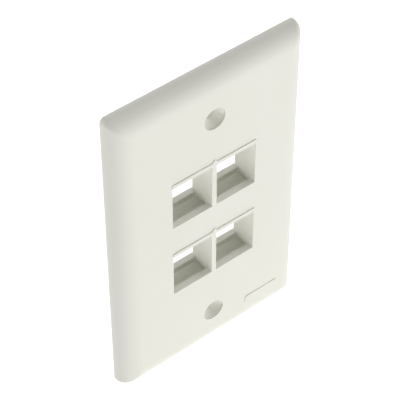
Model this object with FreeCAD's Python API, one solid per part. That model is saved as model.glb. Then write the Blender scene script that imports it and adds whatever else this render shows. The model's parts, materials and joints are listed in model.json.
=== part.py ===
import FreeCAD, Part
import math
import os

# Four-port keystone faceplate for a single-gang wall box, moulded in one piece.
#
# Frame: millimetres, +Z up as mounted, the front looks along -Y. The origin is midway between
# the two screw holes, in the plane of the rim that seats on the wall, so the front face lies at
# y = -PLATE_DEPTH and the port housings reach past the wall plane into the box, to +Y.

# Plate
PLATE_WIDTH = 69.85
PLATE_HEIGHT = 114.3
PLATE_DEPTH = 7.0  # front face to wall plane
RIM_LAND = 0.6  # straight wall left behind the quarter-round edge
CORNER_RADIUS = 1.8  # ball fillet that runs down each corner mitre
FACE_WALL = 2.3
RIM_WALL = 2.2
HOLLOW_LAND = 0.5  # straight wall of the hollow behind its inner round
HOLLOW_CORNER_RADIUS = 1.0

# Screw holes, for two countersunk device screws
SCREW_SPACING = 83.34
SCREW_BORE_RADIUS = 1.83
SCREW_MOUTH_RADIUS = 3.83
SCREW_MOUTH_LAND = 0.55  # straight wall of the mouth above the cone
SCREW_CONE_ANGLE = 82.0  # full angle of the cone
BOSS_WALL = 2.8  # around the bore

# Keystone ports
PORT_COLUMNS = 2
PORT_ROWS = 2
PORT_WIDTH = 14.8
PORT_HEIGHT = 16.8
PORT_GAP = 1.74  # rib between the two ports of a row
ROW_PITCH = 29.2
ARRAY_RISE = 0.2  # middle of the four ports, above the middle of the plate

# Housings behind the ports, which hold a jack by a fixed lug below and a springy latch above
HOUSING_DEPTH = 10.3  # front face to the rear of the shelves
SIDE_WALL_SETBACK = 0.8  # side walls stop this far short of the shelves
HOUSING_SIDE_WALL = 1.74
SHELF_WALL = 1.5
CATCH_LENGTH = 2.15  # rear catch on each shelf, front to rear
LUG_POCKET_DROP = 1.8  # pocket below the port's sill, in front of the lower catch
LATCH_MOUTH_RISE = 3.2  # rear mouth above the port's head, under the upper catch
LATCH_POCKET_RISE = 4.8  # pocket above the port's head, in front of the upper catch
LATCH_RAMP = 0.9  # lead-in on the rear of the upper catch

# Raised brow along the head of each row, with a peak over the rib
BROW_HEIGHT = 1.36
BROW_RELIEF = 0.34
PEAK_HEIGHT = 1.2
PEAK_WIDTH = 1.74

# Ribs on the back, along the centreline
SPINE_WALL = 1.4
SPINE_DEPTH = 3.0  # behind the face wall

FRONT = -PLATE_DEPTH
FACE_BACK = FRONT + FACE_WALL
SHELF_END = FRONT + HOUSING_DEPTH
ARRAY_HALF_WIDTH = (PORT_COLUMNS * PORT_WIDTH + (PORT_COLUMNS - 1) * PORT_GAP) / 2
ROOT = FACE_WALL / 2  # how deep ribs, bosses and housings are rooted in the face wall


def cushion(width, height, depth, edge_radius, corner_radius):
    """Solid from the wall plane forward, with quarter-round edges and ball-filleted mitres.

    It is the intersection of two bars with the same edge profile, one upright and one level.
    """
    front = -depth

    def bar(span, length, place):
        half = span / 2
        side = edge_radius * (1 - math.sin(math.radians(45)))

        def at(u, y):
            return place(u, y, -length / 2)

        outline = [
            Part.makeLine(at(-half, 0), at(half, 0)),
            Part.makeLine(at(half, 0), at(half, front + edge_radius)),
            Part.Arc(
                at(half, front + edge_radius),
                at(half - side, front + side),
                at(half - edge_radius, front),
            ).toShape(),
            Part.makeLine(at(half - edge_radius, front), at(edge_radius - half, front)),
            Part.Arc(
                at(edge_radius - half, front),
                at(side - half, front + side),
                at(-half, front + edge_radius),
            ).toShape(),
            Part.makeLine(at(-half, front + edge_radius), at(-half, 0)),
        ]
        along = place(0, 0, length) - place(0, 0, 0)
        return Part.Face(Part.Wire(outline)).extrude(along)

    upright = bar(width, height, lambda u, y, w: FreeCAD.Vector(u, y, w))
    level = bar(height, width, lambda u, y, w: FreeCAD.Vector(w, y, u))
    body = upright.common(level)

    def on_mitre(point):
        return abs((width / 2 - abs(point.x)) - (height / 2 - abs(point.z))) < 1e-6

    mitres = []
    for edge in body.Edges:
        ends = [vertex.Point for vertex in edge.Vertexes]
        deep = abs(ends[0].y - ends[-1].y) > 1e-6
        if deep and all(on_mitre(point) for point in ends):
            mitres.append(edge)
    return body.makeFillet(corner_radius, mitres)


def block(x_range, y_range, z_range):
    """Box between three pairs of limits."""
    size = [high - low for low, high in (x_range, y_range, z_range)]
    return Part.makeBox(*size, FreeCAD.Vector(x_range[0], y_range[0], z_range[0]))


def side_section(points, x_range):
    """Outline of (y, z) points in the YZ plane, extruded between two x limits."""
    corners = [FreeCAD.Vector(x_range[0], y, z) for y, z in points]
    outline = Part.makePolygon(corners + corners[:1])
    return Part.Face(outline).extrude(FreeCAD.Vector(x_range[1] - x_range[0], 0, 0))


def plate_form():
    """Outer form of the plate, without its hollow."""
    edge_radius = PLATE_DEPTH - RIM_LAND
    return cushion(PLATE_WIDTH, PLATE_HEIGHT, PLATE_DEPTH, edge_radius, CORNER_RADIUS)


def plate_hollow():
    """Space inside the plate, open at the back."""
    width = PLATE_WIDTH - 2 * RIM_WALL
    height = PLATE_HEIGHT - 2 * RIM_WALL
    depth = PLATE_DEPTH - FACE_WALL
    return cushion(width, height, depth, depth - HOLLOW_LAND, HOLLOW_CORNER_RADIUS)


def port_sill(row):
    """Height of the lower edge of a row's ports."""
    middle = ARRAY_RISE + (row - (PORT_ROWS - 1) / 2) * ROW_PITCH
    return middle - PORT_HEIGHT / 2


def port_left(column):
    """Left edge of a column's ports."""
    return -ARRAY_HALF_WIDTH + column * (PORT_WIDTH + PORT_GAP)


def housing_span():
    """Lowest and highest point of the housings."""
    low = port_sill(0) - LUG_POCKET_DROP - SHELF_WALL
    high = port_sill(PORT_ROWS - 1) + PORT_HEIGHT + LATCH_POCKET_RISE + SHELF_WALL
    return (low, high)


def housing_shelves(row):
    """Lower and upper shelf of one row, each with its catch at the rear."""
    root = FACE_BACK - ROOT
    catch = SHELF_END - CATCH_LENGTH
    half = ARRAY_HALF_WIDTH + HOUSING_SIDE_WALL
    sill = port_sill(row)
    head = sill + PORT_HEIGHT
    pocket_floor = sill - LUG_POCKET_DROP
    lower = side_section(
        [
            (root, pocket_floor - SHELF_WALL),
            (SHELF_END, pocket_floor - SHELF_WALL),
            (SHELF_END, sill),
            (catch, sill),
            (catch, pocket_floor),
            (root, pocket_floor),
        ],
        (-half, half),
    )
    pocket_roof = head + LATCH_POCKET_RISE
    mouth = head + LATCH_MOUTH_RISE
    upper = side_section(
        [
            (root, pocket_roof + SHELF_WALL),
            (root, pocket_roof),
            (catch, pocket_roof),
            (catch, mouth),
            (SHELF_END - LATCH_RAMP, mouth),
            (SHELF_END, mouth + LATCH_RAMP),
            (SHELF_END, pocket_roof + SHELF_WALL),
        ],
        (-half, half),
    )
    return [lower, upper]


def housing_sides():
    """Upright walls beside and between the ports, running through all rows."""
    half = ARRAY_HALF_WIDTH
    spans = [(-half - HOUSING_SIDE_WALL, -half), (half, half + HOUSING_SIDE_WALL)]
    spans += [(port_left(column) - PORT_GAP, port_left(column)) for column in range(1, PORT_COLUMNS)]
    depth = (FACE_BACK - ROOT, SHELF_END - SIDE_WALL_SETBACK)
    return [block(span, depth, housing_span()) for span in spans]


def port_opening(column, row):
    """Through opening of one port in the face wall."""
    left = port_left(column)
    sill = port_sill(row)
    return block(
        (left, left + PORT_WIDTH),
        (FRONT - BROW_RELIEF, FACE_BACK),
        (sill, sill + PORT_HEIGHT),
    )


def brow(row):
    """Raised strip along the head of a row, peaked over each rib between its ports."""
    head = port_sill(row) + PORT_HEIGHT
    top = head + BROW_HEIGHT
    points = [(-ARRAY_HALF_WIDTH, top), (-ARRAY_HALF_WIDTH, head)]
    points += [(ARRAY_HALF_WIDTH, head), (ARRAY_HALF_WIDTH, top)]
    for column in range(PORT_COLUMNS - 1, 0, -1):
        rib = port_left(column) - PORT_GAP / 2
        points += [(rib + PEAK_WIDTH / 2, top), (rib, top + PEAK_HEIGHT), (rib - PEAK_WIDTH / 2, top)]
    corners = [FreeCAD.Vector(x, FRONT - BROW_RELIEF, z) for x, z in points]
    outline = Part.makePolygon(corners + corners[:1])
    return Part.Face(outline).extrude(FreeCAD.Vector(0, BROW_RELIEF + ROOT, 0))


def screw_boss(z):
    """Round post behind a screw hole, down to the wall plane."""
    start = FreeCAD.Vector(0, FACE_BACK - ROOT, z)
    length = ROOT + PLATE_DEPTH - FACE_WALL
    return Part.makeCylinder(SCREW_BORE_RADIUS + BOSS_WALL, length, start, FreeCAD.Vector(0, 1, 0))


def screw_hole(z):
    """Bore with a countersunk mouth, turned about its axis."""
    cone_depth = (SCREW_MOUTH_RADIUS - SCREW_BORE_RADIUS) / math.tan(
        math.radians(SCREW_CONE_ANGLE / 2)
    )
    cone_start = FRONT + SCREW_MOUTH_LAND
    points = [
        (0, FRONT),
        (SCREW_MOUTH_RADIUS, FRONT),
        (SCREW_MOUTH_RADIUS, cone_start),
        (SCREW_BORE_RADIUS, cone_start + cone_depth),
        (SCREW_BORE_RADIUS, 0),
        (0, 0),
    ]
    corners = [FreeCAD.Vector(radius, y, z) for radius, y in points]
    section = Part.Face(Part.makePolygon(corners + corners[:1]))
    return section.revolve(FreeCAD.Vector(0, 0, z), FreeCAD.Vector(0, 1, 0), 360)


def spine_ribs():
    """Thin ribs on the centreline, from each boss to the rim and to the housings."""
    low, high = housing_span()
    reach = SCREW_BORE_RADIUS + BOSS_WALL / 2
    screw = SCREW_SPACING / 2
    rim = PLATE_HEIGHT / 2 - RIM_WALL / 2
    spans = [
        (-rim, -screw - reach),
        (-screw + reach, low + SHELF_WALL / 2),
        (high - SHELF_WALL / 2, screw - reach),
        (screw + reach, rim),
    ]
    thickness = (-SPINE_WALL / 2, SPINE_WALL / 2)
    depth = (FACE_BACK - ROOT, FACE_BACK + SPINE_DEPTH)
    return [block(thickness, depth, span).common(plate_form()) for span in spans]


def faceplate():
    """The whole moulding."""
    screws = (-SCREW_SPACING / 2, SCREW_SPACING / 2)
    added = housing_sides() + spine_ribs()
    added += [screw_boss(z) for z in screws]
    for row in range(PORT_ROWS):
        added += housing_shelves(row)
        added.append(brow(row))
    body = plate_form().cut(plate_hollow()).fuse(added)
    removed = [screw_hole(z) for z in screws]
    for row in range(PORT_ROWS):
        removed += [port_opening(column, row) for column in range(PORT_COLUMNS)]
    return body.cut(removed).removeSplitter()


os.makedirs("parts", exist_ok=True)
moulding = faceplate()
moulding.exportStep("parts/faceplate.step")
print("faceplate", moulding.ShapeType, "solids", len(moulding.Solids), "valid", moulding.isValid())
print("volume", round(moulding.Volume, 1), "mm3, box", moulding.BoundBox)
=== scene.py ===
"""Looks for the four-port keystone faceplate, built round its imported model.

The script dresses the moulding in satin warm-white plastic, adds the bare raised pad on its front
and the ejector pin marks on its back, and sets a white floor, soft lamps and a camera.

Lengths are in millimetres where a name ends in _MM and in metres elsewhere. The plate's front
looks along -Y, +Z is up as mounted, and the origin lies midway between the screw holes in the
plane of the rim that seats on the wall.
"""

import json
import math

import bpy
import numpy as np
from mathutils import Matrix, Vector


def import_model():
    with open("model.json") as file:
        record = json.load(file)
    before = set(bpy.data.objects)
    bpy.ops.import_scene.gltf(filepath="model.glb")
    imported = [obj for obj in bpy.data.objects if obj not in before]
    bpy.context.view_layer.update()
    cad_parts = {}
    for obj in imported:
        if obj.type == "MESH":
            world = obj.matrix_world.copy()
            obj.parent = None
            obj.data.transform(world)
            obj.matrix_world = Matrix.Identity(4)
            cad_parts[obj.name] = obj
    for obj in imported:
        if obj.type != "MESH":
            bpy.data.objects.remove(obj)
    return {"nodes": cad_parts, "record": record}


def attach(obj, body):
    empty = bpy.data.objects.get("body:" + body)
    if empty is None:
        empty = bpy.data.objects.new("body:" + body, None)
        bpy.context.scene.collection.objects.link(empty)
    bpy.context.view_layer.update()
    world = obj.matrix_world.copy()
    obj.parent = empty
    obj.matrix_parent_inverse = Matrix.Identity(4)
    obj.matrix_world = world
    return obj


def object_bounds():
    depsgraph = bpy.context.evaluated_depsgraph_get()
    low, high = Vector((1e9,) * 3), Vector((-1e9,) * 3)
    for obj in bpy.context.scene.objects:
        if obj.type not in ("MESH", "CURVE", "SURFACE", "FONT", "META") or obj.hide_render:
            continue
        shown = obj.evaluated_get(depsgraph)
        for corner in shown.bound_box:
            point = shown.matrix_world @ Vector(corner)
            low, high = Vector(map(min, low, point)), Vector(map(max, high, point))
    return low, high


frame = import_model()
cad_low, cad_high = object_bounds()
scene = bpy.context.scene
scene.view_settings.view_transform = "Standard"

MM = 0.001
QUARTER_TURN = math.pi / 2

# Raised pad at the lower right, left bare
PAD_LEFT_MM = 12.95
PAD_RIGHT_MM = 26.3
PAD_TOP_MM = -44.65
PAD_HEIGHT_MM = 4.0
PAD_RELIEF_MM = 0.24
PAD_CORNER_MM = 1.0
PAD_EDGE_MM = 0.08  # round along the pad's top edge
PAD_ROOT_MM = 0.15  # sunk into the face, so that no gap shows
PAD_TOP_INSETS_MM = [0.5, 0.95]  # inner rings of the flat top, both less than the corner
PAD_CORNER_POINTS = 9
PAD_EDGE_POINTS = 5

# Round marks that ejector pins leave on the rear of the face wall
PIN_PLACES_MM = [(x, z) for x in (-25.5, 25.5) for z in (-44.0, 0.0, 44.0)]
PIN_RADIUS_MM = 1.9
PIN_RISE_MM = 0.25
PIN_EDGE_MM = 0.05  # round along the rim of a mark
PIN_DISH_MM = 0.1  # the middle of a mark lies lower than its rim
PIN_DISH_SHARES = (0.8, 0.1)  # outer and inner ring of the dish, as shares of the radius
PIN_ROOT_MM = 0.2
PIN_ARC_POINTS = 4  # on the rim's round, and on the dish
PIN_SIDES = 40
OPENING_MARGIN_MM = 0.05  # the record's spaces stop this far short of the walls

# Plastic
WARM_WHITE = (0.803, 0.800, 0.728)  # linear
PLASTIC_IOR = 1.57
SATIN_ROUGHNESS = 0.46  # show side
CORE_ROUGHNESS = 0.56  # rear side, as the mould's core leaves it
PAD_ROUGHNESS = 0.42
EDGE_ROUND = 0.12 * MM  # rounding of sharp edges, in the shading alone
EDGE_RAYS = 8

NOISE_MIDDLE = 0.5

# Slow drift of the resin: noise scales per metre, and swings for a noise that swings by one
FLOW_SCALE = 45.0
FLOW_DETAIL = 3.0
FLOW_STRETCH = 0.45  # scale upwards against across, which draws the drift out upwards
FLOW_TINT = 0.012
PALE_SWING = 4.0  # swing of red and green, in tints
BLUE_SWING = 6.0
FLOW_ROUGHNESS = -0.05
SMEAR_SCALE = 220.0
SMEAR_DETAIL = 2.0
SMEAR_ROUGHNESS = 0.06

# Fine relief of the skin: noise scales per metre, and depths
SATIN_GRAIN = 2600.0
SATIN_DEPTH = 0.004 * MM
PAD_GRAIN = 3900.0
PAD_DEPTH = 0.002 * MM
CORE_GRAIN = 900.0
CORE_DEPTH = 0.02 * MM
GRAIN_DETAIL = 2.0
COARSE_GRAIN = 3.0  # the second noise of a grain is coarser by this factor
COARSE_DETAIL = 1.0
COARSE_SHARE = 0.4
CORE_LINES = 450.0  # milling lines on the core side per metre, counted along x + y + z
CORE_LINE_SHARE = 0.5
CORE_LINE_WOBBLE = 1.5
CORE_LINE_DETAIL = 1.0
WAVE_RADIANS = 10.0  # the Wave node's turn along x + y + z, for one metre and a scale of one

# Where the core side starts
CORE_AHEAD_MM = 0.3  # in front of the rear of the face wall
CORE_BLEND_MM = 0.2
CORE_FACING = 0.9  # least backward part of the normal on a face that looks backwards

# Camera
CAMERA_AZIMUTH = 38.569  # degrees, to the left of straight on
CAMERA_ELEVATION = 45.863
CAMERA_ROLL = -0.053
CAMERA_PLACE = Vector((-0.22312, -0.27993, 0.37196))
CAMERA_LENS = 152.83  # millimetres, on a sensor of the next width
CAMERA_SENSOR = 36.0
CAMERA_NEAR = 0.01

# Soft lamps: name, azimuth from -Y towards +X, elevation, strength, apparent size in degrees
LAMPS = [
    ("key_right", 42.0, -14.0, 0.317, 30.0),
    ("key_high", 45.0, 20.0, 0.168, 30.0),
    ("key_left", -10.0, -20.0, 0.217, 30.0),
    ("fill_low", -50.0, -62.0, 0.214, 30.0),
    ("fill_front", -55.0, 14.0, 0.106, 30.0),
    ("fill_left", -88.0, 25.0, 0.128, 30.0),
    ("edge_left", -128.0, -7.0, 0.158, 30.0),
    ("top", 90.0, 80.0, 0.334, 30.0),
    ("rear_right", 150.0, 11.0, 0.375, 14.0),
    ("rear_left", -165.0, 11.0, 0.283, 14.0),
]
AMBIENT = 0.002

# Surround
SURROUND_WHITE = (1.0, 1.0, 1.0, 1.0)
FLOOR_WHITE = 0.85
FLOOR_HALF = 20.0


def cad_front_mm():
    """Depth of the plate's flat front, on which the record's ports lie."""
    ports = [m for m in frame["record"]["mounts"] if m["name"].startswith("jack_port")]
    return ports[0]["pos_m"][1] / MM


def cad_wall_rear_mm():
    """Depth of the rear of the face wall, where the record's hollow spaces start."""
    spaces = frame["record"]["physics"]["openings"]
    hollow = next(space for space in spaces if space["name"] == "hollow_left")
    return hollow["box_m"][0][1] / MM - OPENING_MARGIN_MM


def rim_width():
    """Width of the flat rear rim: the record's mount lies midway across it."""
    rim = next(m for m in frame["record"]["mounts"] if m["name"] == "wall_rim")
    return 2 * (cad_high.x - rim["pos_m"][0])


def mesh_piece(name, points, faces):
    """New object at the origin from arrays of points and faces."""
    mesh = bpy.data.meshes.new(name)
    mesh.from_pydata(points.tolist(), [], faces)
    mesh.update()
    piece = bpy.data.objects.new(name, mesh)
    scene.collection.objects.link(piece)
    return piece


def closed_faces(rings, sides):
    """Faces of a closed body: quads between successive rings, and a flat cap on each end."""
    ring, side = np.meshgrid(np.arange(rings - 1), np.arange(sides), indexing="ij")
    after = (side + 1) % sides
    low, high = ring * sides, (ring + 1) * sides
    quads = np.stack([low + side, low + after, high + after, high + side], axis=-1)
    last = (rings - 1) * sides
    caps = [list(range(last, last + sides)), list(range(sides))[::-1]]
    return quads.reshape(-1, 4).tolist() + caps


def rounded_outlines(half_width, half_height, radius, corner_points):
    """Rounded rectangles about the origin, one row for each value of the arrays.

    Each point is a corner centre plus radius times (cos t, sin t), with t going once round in
    four quarter turns, one per corner.
    """
    t = np.linspace(0, QUARTER_TURN, corner_points)
    angles = np.concatenate([t + quarter * QUARTER_TURN for quarter in range(4)])
    radius = radius[:, None]
    across = np.repeat([1, -1, -1, 1], corner_points) * (half_width[:, None] - radius)
    up = np.repeat([1, 1, -1, -1], corner_points) * (half_height[:, None] - radius)
    return across + radius * np.cos(angles), up + radius * np.sin(angles)


def bare_pad():
    """Flat raised pad with rounded corners and a rounded top edge.

    Ring k is the rounded outline drawn in by inset(k) at the height rise(k): up the side wall,
    round the edge by a quarter circle, then in towards the middle.
    """
    bend = np.linspace(0, QUARTER_TURN, PAD_EDGE_POINTS)
    inset = np.concatenate([[0.0], PAD_EDGE_MM * (1 - np.cos(bend)), PAD_TOP_INSETS_MM])
    edge_rise = PAD_RELIEF_MM - PAD_EDGE_MM * (1 - np.sin(bend))
    top_rise = np.full(len(PAD_TOP_INSETS_MM), PAD_RELIEF_MM)
    rise = np.concatenate([[-PAD_ROOT_MM], edge_rise, top_rise])
    across, up = rounded_outlines(
        (PAD_RIGHT_MM - PAD_LEFT_MM) / 2 - inset,
        PAD_HEIGHT_MM / 2 - inset,
        PAD_CORNER_MM - inset,
        PAD_CORNER_POINTS,
    )
    x = (PAD_LEFT_MM + PAD_RIGHT_MM) / 2 + across
    y = np.broadcast_to(cad_front_mm() - rise[:, None], across.shape)
    z = PAD_TOP_MM - PAD_HEIGHT_MM / 2 + up
    points = np.stack([x, y, z], axis=-1).reshape(-1, 3) * MM
    return mesh_piece("bare_pad", points, closed_faces(*across.shape))


def ejector_marks():
    """Low round marks on the rear of the face wall, as one mesh of turned profiles.

    Ring k of a mark is a circle of radius(k) at the height rise(k) above the wall's rear: up the
    side, round the edge by a quarter circle, then down a shallow dish to a last small circle.
    In the dish the height falls with one minus the square of the distance from the middle.
    """
    bend = np.linspace(0, QUARTER_TURN, PIN_ARC_POINTS)
    dish = np.linspace(*PIN_DISH_SHARES, PIN_ARC_POINTS)
    edge_radius = PIN_RADIUS_MM - PIN_EDGE_MM * (1 - np.cos(bend))
    radius = np.concatenate([[PIN_RADIUS_MM], edge_radius, PIN_RADIUS_MM * dish])
    edge_rise = PIN_RISE_MM - PIN_EDGE_MM * (1 - np.sin(bend))
    dish_rise = PIN_RISE_MM - PIN_DISH_MM * (1 - dish**2)
    rise = np.concatenate([[-PIN_ROOT_MM], edge_rise, dish_rise])
    turn = np.linspace(0, 2 * math.pi, PIN_SIDES, endpoint=False)
    places = np.array(PIN_PLACES_MM)[:, :, None, None]
    x = places[:, 0] + radius[:, None] * np.cos(turn)
    y = np.broadcast_to(cad_wall_rear_mm() + rise[:, None], x.shape)
    z = places[:, 1] + radius[:, None] * np.sin(turn)
    points = np.stack([x, y, z], axis=-1).reshape(-1, 3) * MM
    one = [face[::-1] for face in closed_faces(len(radius), PIN_SIDES)]
    starts = range(0, len(points), len(radius) * PIN_SIDES)
    faces = [[start + corner for corner in face] for start in starts for face in one]
    return mesh_piece("ejector_marks", points, faces)


def node_group(name, inputs, outputs):
    """New shader group with named sockets, given as (name, kind, default) and (name, kind)."""
    group = bpy.data.node_groups.new(name, "ShaderNodeTree")
    for label, kind, value in inputs:
        socket = group.interface.new_socket(label, in_out="INPUT", socket_type=kind)
        socket.default_value = value
    for label, kind in outputs:
        group.interface.new_socket(label, in_out="OUTPUT", socket_type=kind)
    return group, group.nodes.new("NodeGroupInput"), group.nodes.new("NodeGroupOutput")


def placed(tree, group, **values):
    """Group node in a material, with its inputs set."""
    node = tree.nodes.new("ShaderNodeGroup")
    node.node_tree = group
    for label, value in values.items():
        node.inputs[label].default_value = value
    return node


def join(tree, start, end):
    """Link from an output to an input."""
    tree.links.new(start, end)


def maths(tree, operation, *values):
    """Math node whose inputs are numbers or sockets."""
    node = tree.nodes.new("ShaderNodeMath")
    node.operation = operation
    for number, value in enumerate(values):
        if isinstance(value, (int, float)):
            node.inputs[number].default_value = value
        else:
            join(tree, value, node.inputs[number])
    return node.outputs[0]


def noise(tree, vector, scale, detail):
    """Noise texture from 0 to 1, its scale a number or a socket."""
    node = tree.nodes.new("ShaderNodeTexNoise")
    node.inputs["Detail"].default_value = detail
    join(tree, vector, node.inputs["Vector"])
    if isinstance(scale, (int, float)):
        node.inputs["Scale"].default_value = scale
    else:
        join(tree, scale, node.inputs["Scale"])
    return node.outputs["Fac"]


def bump(tree, height, normal, distance):
    """Normal with a relief laid over it."""
    node = tree.nodes.new("ShaderNodeBump")
    node.inputs["Distance"].default_value = distance
    join(tree, height, node.inputs["Height"])
    join(tree, normal, node.inputs["Normal"])
    return node.outputs["Normal"]


def object_place(tree):
    """Place on the object."""
    return tree.nodes.new("ShaderNodeTexCoord").outputs["Object"]


def satin_grain():
    """Height of a fine even grain, from a close noise and one a third as fine."""
    tree, taken, given = node_group(
        "satin_grain",
        [("Scale", "NodeSocketFloat", SATIN_GRAIN)],
        [("Height", "NodeSocketFloat")],
    )
    place = object_place(tree)
    fine = noise(tree, place, taken.outputs["Scale"], GRAIN_DETAIL)
    coarse_scale = maths(tree, "DIVIDE", taken.outputs["Scale"], COARSE_GRAIN)
    coarse = noise(tree, place, coarse_scale, COARSE_DETAIL)
    join(tree, maths(tree, "MULTIPLY_ADD", coarse, COARSE_SHARE, fine), given.inputs["Height"])
    return tree


def resin_flow():
    """Colour and roughness that drift slowly along the way the resin ran.

    The drift is a noise drawn out upwards. Where it is high the colour is a little paler, and
    where it is low a little warmer and the skin a little rougher. A closer noise, the smear,
    adds to the roughness alone.
    """
    tree, taken, given = node_group(
        "resin_flow",
        [
            ("Color", "NodeSocketColor", (*WARM_WHITE, 1)),
            ("Tint", "NodeSocketFloat", FLOW_TINT),
            ("Roughness", "NodeSocketFloat", SATIN_ROUGHNESS),
        ],
        [("Color", "NodeSocketColor"), ("Roughness", "NodeSocketFloat")],
    )
    stretch = tree.nodes.new("ShaderNodeMapping")
    stretch.inputs["Scale"].default_value = (1.0, 1.0, FLOW_STRETCH)
    join(tree, object_place(tree), stretch.inputs["Vector"])
    place = stretch.outputs["Vector"]
    flow = noise(tree, place, FLOW_SCALE, FLOW_DETAIL)
    drift = maths(tree, "SUBTRACT", flow, NOISE_MIDDLE)
    close = noise(tree, place, SMEAR_SCALE, SMEAR_DETAIL)
    smear = maths(tree, "SUBTRACT", close, NOISE_MIDDLE)

    def drifting(swing):
        tints = maths(tree, "MULTIPLY", taken.outputs["Tint"], swing)
        return maths(tree, "MULTIPLY_ADD", drift, tints, 1.0)

    pale, blue = drifting(PALE_SWING), drifting(BLUE_SWING)
    tint = tree.nodes.new("ShaderNodeCombineColor")
    for channel, value in (("Red", pale), ("Green", pale), ("Blue", blue)):
        join(tree, value, tint.inputs[channel])
    blend = tree.nodes.new("ShaderNodeMix")
    blend.data_type = "RGBA"
    blend.blend_type = "MULTIPLY"
    blend.inputs["Factor"].default_value = 1.0
    join(tree, taken.outputs["Color"], blend.inputs["A"])
    join(tree, tint.outputs["Color"], blend.inputs["B"])
    join(tree, blend.outputs["Result"], given.inputs["Color"])
    smeared = maths(tree, "MULTIPLY_ADD", smear, SMEAR_ROUGHNESS, taken.outputs["Roughness"])
    rough = maths(tree, "MULTIPLY_ADD", drift, FLOW_ROUGHNESS, smeared)
    join(tree, rough, given.inputs["Roughness"])
    return tree


def core_side():
    """Mask of the surfaces that the mould's core forms.

    It is 1 behind the rear of the face wall and inside the rim's inner edges, and on faces that
    look backwards, with a short soft step between.
    """
    tree, taken, given = node_group("core_side", [], [("Mask", "NodeSocketFloat")])
    place = tree.nodes.new("ShaderNodeSeparateXYZ")
    join(tree, object_place(tree), place.inputs[0])
    facing = tree.nodes.new("ShaderNodeSeparateXYZ")
    join(tree, tree.nodes.new("ShaderNodeNewGeometry").outputs["True Normal"], facing.inputs[0])

    def step(value, limit, way):
        past = maths(tree, "SUBTRACT", value, limit)
        held = tree.nodes.new("ShaderNodeClamp")
        join(tree, maths(tree, "MULTIPLY", past, way / (CORE_BLEND_MM * MM)), held.inputs["Value"])
        return held.outputs[0]

    start = (cad_wall_rear_mm() - CORE_AHEAD_MM) * MM
    behind = step(place.outputs["Y"], start, 1)
    across = maths(tree, "ABSOLUTE", place.outputs["X"])
    up = maths(tree, "ABSOLUTE", place.outputs["Z"])
    inside = step(across, cad_high.x - rim_width(), -1)
    between = step(up, cad_high.z - rim_width(), -1)
    hollow = maths(tree, "MULTIPLY", behind, maths(tree, "MULTIPLY", inside, between))
    rearward = maths(tree, "GREATER_THAN", facing.outputs["Y"], CORE_FACING)
    join(tree, maths(tree, "MAXIMUM", hollow, rearward), given.inputs["Mask"])
    return tree


grain_group, flow_group, core_group = satin_grain(), resin_flow(), core_side()


def plastic(name, roughness):
    """Satin warm-white plastic, and its nodes for what a finish adds."""
    material = bpy.data.materials.new(name)
    material.use_nodes = True
    tree = material.node_tree
    shader = tree.nodes["Principled BSDF"]
    shader.inputs["IOR"].default_value = PLASTIC_IOR
    flow = placed(tree, flow_group, Roughness=roughness)
    join(tree, flow.outputs["Color"], shader.inputs["Base Color"])
    edges = tree.nodes.new("ShaderNodeBevel")
    edges.samples = EDGE_RAYS
    edges.inputs["Radius"].default_value = EDGE_ROUND
    return material, tree, shader, flow, edges


def moulding_finish():
    """Plastic that is satin on the show side and coarser, with milling lines, on the core side."""
    material, tree, shader, flow, edges = plastic("satin_moulding", SATIN_ROUGHNESS)
    core = placed(tree, core_group).outputs["Mask"]
    rougher = maths(tree, "MULTIPLY", core, CORE_ROUGHNESS - SATIN_ROUGHNESS)
    join(tree, maths(tree, "ADD", flow.outputs["Roughness"], rougher), shader.inputs["Roughness"])
    skin = placed(tree, grain_group, Scale=SATIN_GRAIN).outputs["Height"]
    satin = bump(tree, skin, edges.outputs["Normal"], SATIN_DEPTH)
    lines = tree.nodes.new("ShaderNodeTexWave")
    lines.bands_direction = "DIAGONAL"
    lines.inputs["Scale"].default_value = 2 * math.pi * CORE_LINES / WAVE_RADIANS
    lines.inputs["Distortion"].default_value = CORE_LINE_WOBBLE
    lines.inputs["Detail"].default_value = CORE_LINE_DETAIL
    join(tree, object_place(tree), lines.inputs["Vector"])
    pitted = placed(tree, grain_group, Scale=CORE_GRAIN).outputs["Height"]
    worked = maths(tree, "MULTIPLY_ADD", lines.outputs["Fac"], CORE_LINE_SHARE, pitted)
    height = maths(tree, "MULTIPLY", worked, core)
    join(tree, bump(tree, height, satin, CORE_DEPTH), shader.inputs["Normal"])
    return material


def pad_finish():
    """The same plastic from a smoother patch of the mould."""
    material, tree, shader, flow, edges = plastic("polished_pad", PAD_ROUGHNESS)
    join(tree, flow.outputs["Roughness"], shader.inputs["Roughness"])
    skin = placed(tree, grain_group, Scale=PAD_GRAIN).outputs["Height"]
    join(tree, bump(tree, skin, edges.outputs["Normal"], PAD_DEPTH), shader.inputs["Normal"])
    return material


def direct_rays(tree):
    """1 for rays from the camera, a reflection or a clear piece, and 0 for the rest."""
    path = tree.nodes.new("ShaderNodeLightPath")
    glossy, clear = path.outputs["Is Glossy Ray"], path.outputs["Is Transmission Ray"]
    mirrored = maths(tree, "MAXIMUM", glossy, clear)
    return maths(tree, "MAXIMUM", path.outputs["Is Camera Ray"], mirrored)


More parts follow.
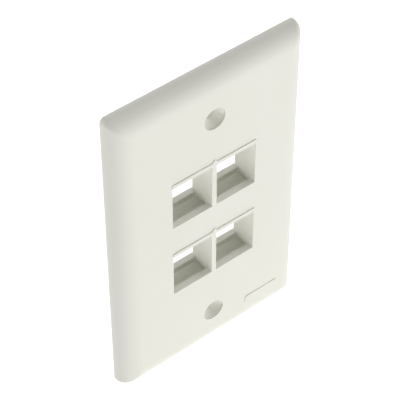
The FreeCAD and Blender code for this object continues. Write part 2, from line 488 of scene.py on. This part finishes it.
def floor():
    """Level square far wider than the view, at the plate's foot.

    It is white paint plus a white glow that only direct rays see.
    """
    half, z = FLOOR_HALF, cad_low.z
    points = np.array([(-half, -half, z), (half, -half, z), (half, half, z), (-half, half, z)])
    piece = mesh_piece("floor", points, [[0, 1, 2, 3]])
    material = bpy.data.materials.new("floor_white")
    material.use_nodes = True
    tree = material.node_tree
    tree.nodes.clear()
    out = tree.nodes.new("ShaderNodeOutputMaterial")
    paint = tree.nodes.new("ShaderNodeBsdfDiffuse")
    paint.inputs["Color"].default_value = (FLOOR_WHITE, FLOOR_WHITE, FLOOR_WHITE, 1)
    glow = tree.nodes.new("ShaderNodeEmission")
    join(tree, maths(tree, "MULTIPLY", direct_rays(tree), FLOOR_WHITE), glow.inputs["Strength"])
    both = tree.nodes.new("ShaderNodeAddShader")
    join(tree, paint.outputs[0], both.inputs[0])
    join(tree, glow.outputs[0], both.inputs[1])
    join(tree, both.outputs[0], out.inputs["Surface"])
    # The glow differs by kind of ray, so it is only found by rays that meet the floor
    material.cycles.emission_sampling = "NONE"
    piece.data.materials.append(material)
    piece.visible_shadow = False  # lamps below the floor's level light the plate from the front


def world():
    """White surround for direct rays, and a faint ambient light for the rest."""
    sky = bpy.data.worlds.new("studio")
    scene.world = sky
    sky.use_nodes = True
    sky.cycles.sampling_method = "NONE"
    tree = sky.node_tree
    ground = tree.nodes["Background"]
    ground.inputs["Color"].default_value = SURROUND_WHITE
    level = maths(tree, "MAXIMUM", direct_rays(tree), AMBIENT)
    join(tree, level, ground.inputs["Strength"])


def lamps():
    """Suns from the listed directions, each lighting a white that faces it to its strength."""
    for name, azimuth, elevation, strength, spread in LAMPS:
        lamp = bpy.data.lights.new(name, "SUN")
        lamp.energy = strength * math.pi
        lamp.angle = math.radians(spread)
        piece = bpy.data.objects.new(name, lamp)
        a, e = math.radians(azimuth), math.radians(elevation)
        towards = Vector((math.sin(a) * math.cos(e), -math.cos(a) * math.cos(e), math.sin(e)))
        piece.rotation_euler = towards.to_track_quat("Z", "Y").to_euler()
        scene.collection.objects.link(piece)


def camera():
    """Camera at its place, looking ahead by azimuth and elevation and rolled a little."""
    lens = bpy.data.cameras.new("camera")
    lens.lens = CAMERA_LENS
    lens.sensor_width = CAMERA_SENSOR
    lens.clip_start = CAMERA_NEAR
    piece = bpy.data.objects.new("camera", lens)
    a, e = math.radians(CAMERA_AZIMUTH), math.radians(CAMERA_ELEVATION)
    ahead = Vector((math.sin(a) * math.cos(e), math.cos(a) * math.cos(e), -math.sin(e)))
    level = ahead.to_track_quat("-Z", "Y").to_matrix()
    turn = level @ Matrix.Rotation(math.radians(CAMERA_ROLL), 3, "Z")
    piece.matrix_world = Matrix.Translation(CAMERA_PLACE) @ turn.to_4x4()
    scene.collection.objects.link(piece)
    scene.camera = piece


plate = frame["nodes"]["faceplate"]
pad = bare_pad()
marks = ejector_marks()
for piece in (pad, marks):
    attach(piece, "root")

moulded = moulding_finish()
for slot in plate.material_slots:
    slot.material = moulded
pad.data.materials.append(pad_finish())
marks.data.materials.append(moulded)

floor()
world()
lamps()
camera()
